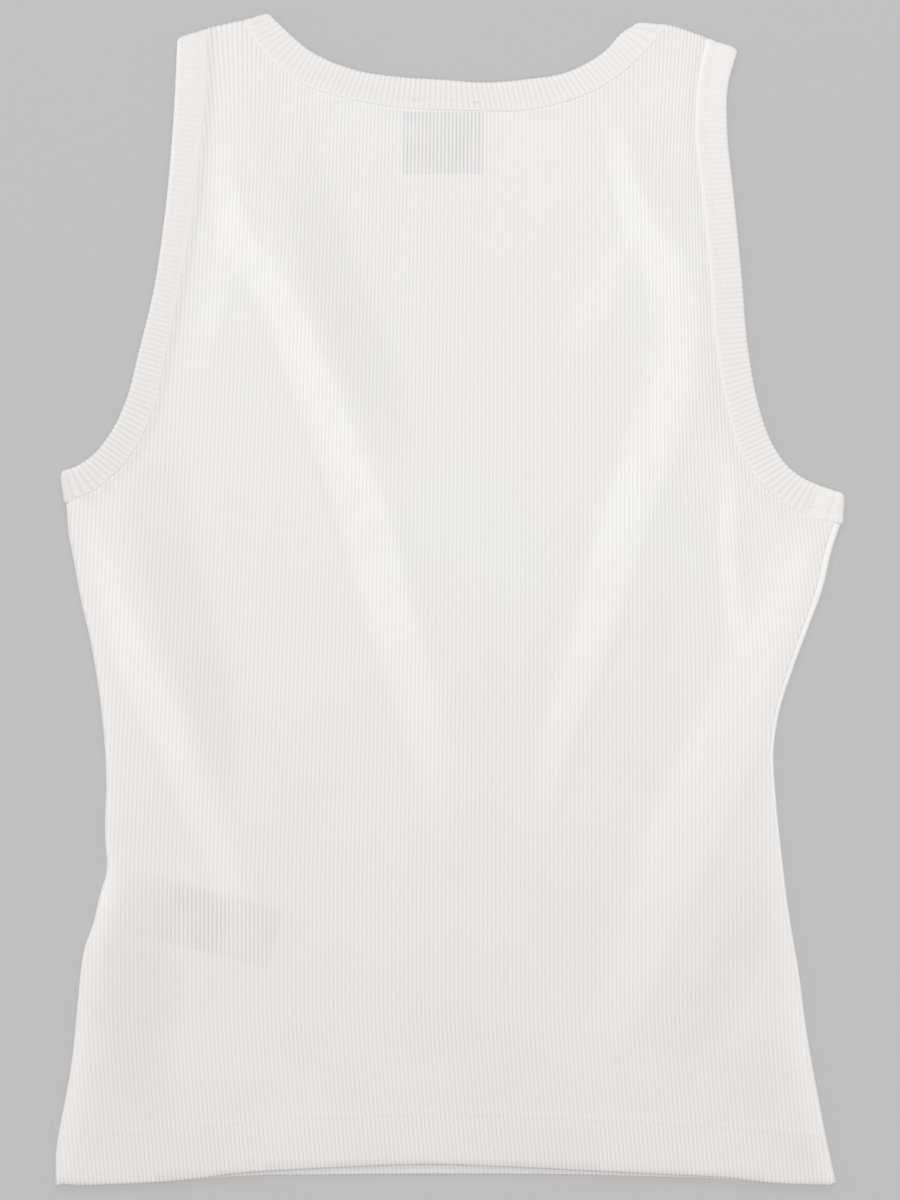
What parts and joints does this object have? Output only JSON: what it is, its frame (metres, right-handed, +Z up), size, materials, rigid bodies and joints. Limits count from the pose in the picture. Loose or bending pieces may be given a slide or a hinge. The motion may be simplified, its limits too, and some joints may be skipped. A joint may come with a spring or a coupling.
{
  "type": "tank top",
  "caption": "Fitted sleeveless rib-knit tank top laid flat with its back up, with rib bindings at neck and armholes and a turned-up hem.",
  "frame": {"origin": "middle of the laid garment's outline, on the surface that it rests on", "axes": "+Z up, away from the surface; +Y from the hem to the neck; +X to the right-hand side of the back as it is seen from above"},
  "size_m": [0.3949, 0.5855, 0.0072],
  "materials": {
    "rib_knit": "matt off-white fine rib knit",
    "binding_rib": "matt off-white rib knit, folded double",
    "neck_label_weave": "dark woven, blank",
    "care_label_satin": "dark satin tape, blank"
  },
  "bodies": {
    "root": {"back_panel": "rib_knit", "front_panel": "rib_knit", "neck_binding": "binding_rib", "armhole_binding_left": "binding_rib", "armhole_binding_right": "binding_rib", "neck_label": "neck_label_weave", "care_label": "care_label_satin"}
  },
  "joints": []
}
